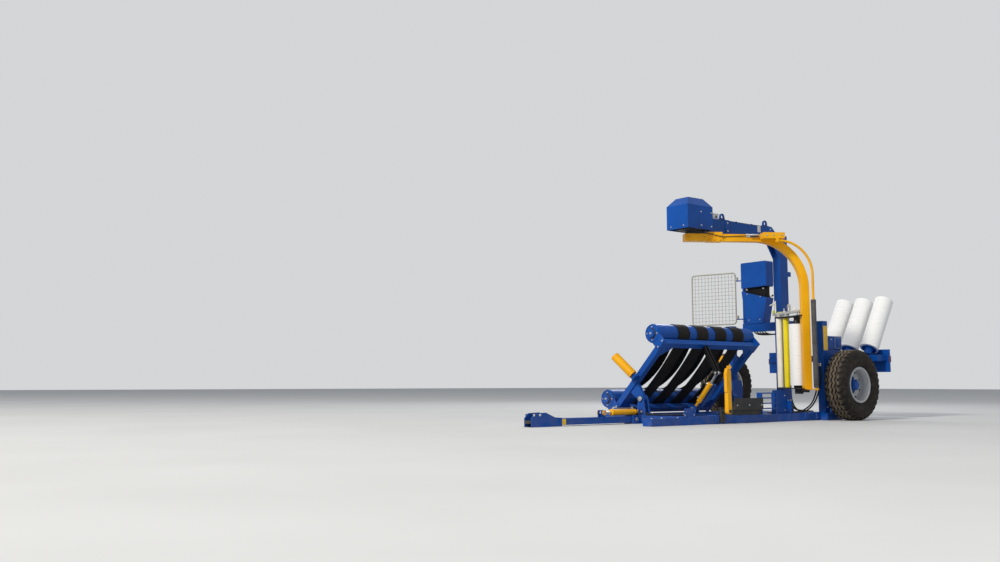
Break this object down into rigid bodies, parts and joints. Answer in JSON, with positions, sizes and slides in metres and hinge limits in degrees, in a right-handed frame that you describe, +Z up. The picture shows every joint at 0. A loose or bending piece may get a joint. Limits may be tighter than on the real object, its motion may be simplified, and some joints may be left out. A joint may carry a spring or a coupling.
{
  "type": "bale wrapper",
  "caption": "Trailed round bale wrapper: a bent arm hung from an overhead boom carries stretch film round a tipping belt table on a low wheeled frame.",
  "frame": {"origin": "on the ground under the wrapping axis, on the underside of the middle beam of the base frame", "axes": "+X forward to the drawbar, +Y to the machine's left, +Z up"},
  "size_m": [5.584, 2.5796, 2.665],
  "materials": {
    "blue_paint": "satin",
    "yellow_paint": "satin",
    "belt_rubber": "matte",
    "tyre_rubber": "matte",
    "silver_paint": "satin",
    "bare_steel": "satin",
    "chromed_rod": "polished",
    "grey_casting": "satin",
    "film_plastic": "gloss",
    "grey_foam": "matte",
    "lamp_plastic": "gloss",
    "marker_yellow": "matte",
    "zinc_wire": "satin",
    "hose_rubber": "satin"
  },
  "bodies": {
    "frame": {"base_frame": "blue_paint", "pivot_brackets": "blue_paint", "side_uprights": "blue_paint", "axle_stubs": "blue_paint", "mast": "blue_paint", "boom": "blue_paint", "drive_hood": "blue_paint", "arm_bearing": "grey_casting", "film_rack": "blue_paint", "spare_rolls": "film_plastic", "console_box": "blue_paint", "console_hood": "blue_paint", "tail_lamps": "lamp_plastic", "marker_plates": "marker_yellow", "film_clamp": "grey_casting", "film_guide": "blue_paint", "base_hoses": "hose_rubber"},
    "wheel_left": {"left_tyre": "tyre_rubber", "left_rim": "silver_paint", "left_hub": "blue_paint"},
    "wheel_right": {"right_tyre": "tyre_rubber", "right_rim": "silver_paint", "right_hub": "blue_paint"},
    "wrapping_arm": {"arm_hub": "grey_casting", "wrap_arm": "yellow_paint", "safety_bar": "yellow_paint", "safety_sleeve": "grey_foam", "stretcher_frame": "bare_steel"},
    "film_on_arm": {"film_roll": "film_plastic"},
    "stretch_front": {"front_stretch_roller": "bare_steel"},
    "stretch_rear": {"rear_stretch_roller": "yellow_paint"},
    "table": {"table_frame": "blue_paint", "roller_ends": "blue_paint", "belt_rollers": "blue_paint", "belts": "belt_rubber"},
    "guide_front": {"front_guide_roller": "yellow_paint"},
    "guide_rear": {"rear_guide_roller": "yellow_paint"},
    "tip_cylinder": {"tip_barrel": "yellow_paint"},
    "tip_piston": {"tip_rod": "chromed_rod"},
    "hitch": {"drawbar": "blue_paint", "drawbar_eye": "grey_casting", "drawbar_sign": "marker_yellow"},
    "hitch_cylinder": {"drawbar_barrel": "yellow_paint"},
    "hitch_piston": {"drawbar_rod": "chromed_rod"},
    "guard": {"mesh_guard": "zinc_wire"},
    "lever": {"hold_lever": "yellow_paint"}
  },
  "joints": [
    {"name": "wheel_left_spin", "type": "hinge", "parent": "frame", "child": "wheel_left", "pos_m": [-1.67, 0.968, 0.4275], "axis": [0, 1, 0], "continuous": true},
    {"name": "wheel_right_spin", "type": "hinge", "parent": "frame", "child": "wheel_right", "pos_m": [-1.67, -0.968, 0.4275], "axis": [0, 1, 0], "continuous": true},
    {"name": "arm_turn", "type": "hinge", "parent": "frame", "child": "wrapping_arm", "pos_m": [0, 0, 2.2], "axis": [0, 0, 1], "continuous": true},
    {"name": "film_roll_spin", "type": "hinge", "parent": "wrapping_arm", "child": "film_on_arm", "pos_m": [-1.20339, 0.54302, 0.8], "axis": [0, 0, 1], "continuous": true},
    {"name": "stretch_front_spin", "type": "hinge", "parent": "wrapping_arm", "child": "stretch_front", "pos_m": [-1.21921, 0.26712, 0.8], "axis": [0, 0, 1], "continuous": true},
    {"name": "stretch_rear_spin", "type": "hinge", "parent": "wrapping_arm", "child": "stretch_rear", "pos_m": [-1.22428, 0.36581, 0.8], "axis": [0, 0, 1], "continuous": true},
    {"name": "table_tilt", "type": "hinge", "parent": "frame", "child": "table", "pos_m": [0, -0.14, 0.27], "axis": [1, 0, 0], "range_deg": [-45, 0]},
    {"name": "guide_front_spin", "type": "hinge", "parent": "table", "child": "guide_front", "pos_m": [0.87, -0.20081, 0.5288], "axis": [0.2419, -0.6861, 0.6861], "continuous": true},
    {"name": "guide_rear_spin", "type": "hinge", "parent": "table", "child": "guide_rear", "pos_m": [-0.87, -0.20081, 0.5288], "axis": [-0.2419, -0.6861, 0.6861], "continuous": true},
    {"name": "tip_cylinder_swing", "type": "hinge", "parent": "frame", "child": "tip_cylinder", "pos_m": [0.11, 0.02, 0.15], "axis": [1, 0, 0], "range_deg": [-56, 1]},
    {"name": "tip_rod_slide", "type": "slide", "parent": "tip_cylinder", "child": "tip_piston", "axis": [0, 0.6567, 0.7542], "range_m": [-0.134, 0.001]},
    {"name": "drawbar_pitch", "type": "hinge", "parent": "frame", "child": "hitch", "pos_m": [1.13, 0, 0.05], "axis": [0, -1, 0], "range_deg": [0, 12]},
    {"name": "hitch_cylinder_swing", "type": "hinge", "parent": "frame", "child": "hitch_cylinder", "pos_m": [1.01, 0, 0.128], "axis": [0, -1, 0], "range_deg": [-1, 10.5]},
    {"name": "hitch_rod_slide", "type": "slide", "parent": "hitch_cylinder", "child": "hitch_piston", "axis": [1, 0, 0], "range_m": [-0.022, 0.001]},
    {"name": "guard_swing", "type": "hinge", "parent": "frame", "child": "guard", "pos_m": [-1.75, -0.8, 1.6], "axis": [0, 0, 1], "range_deg": [-85, 20]},
    {"name": "lever_fold", "type": "hinge", "parent": "frame", "child": "lever", "pos_m": [0.4, 0.77, 0.14], "axis": [0, 1, 0], "range_deg": [0, 60]}
  ],
  "couplings": [
    {"joint": "tip_cylinder_swing", "follows": "table_tilt", "ratio": 1.2093},
    {"joint": "tip_rod_slide", "follows": "table_tilt", "m_per_rad": 0.16694},
    {"joint": "hitch_cylinder_swing", "follows": "drawbar_pitch", "ratio": 0.79875},
    {"joint": "hitch_rod_slide", "follows": "drawbar_pitch", "m_per_rad": -0.087612}
  ]
}
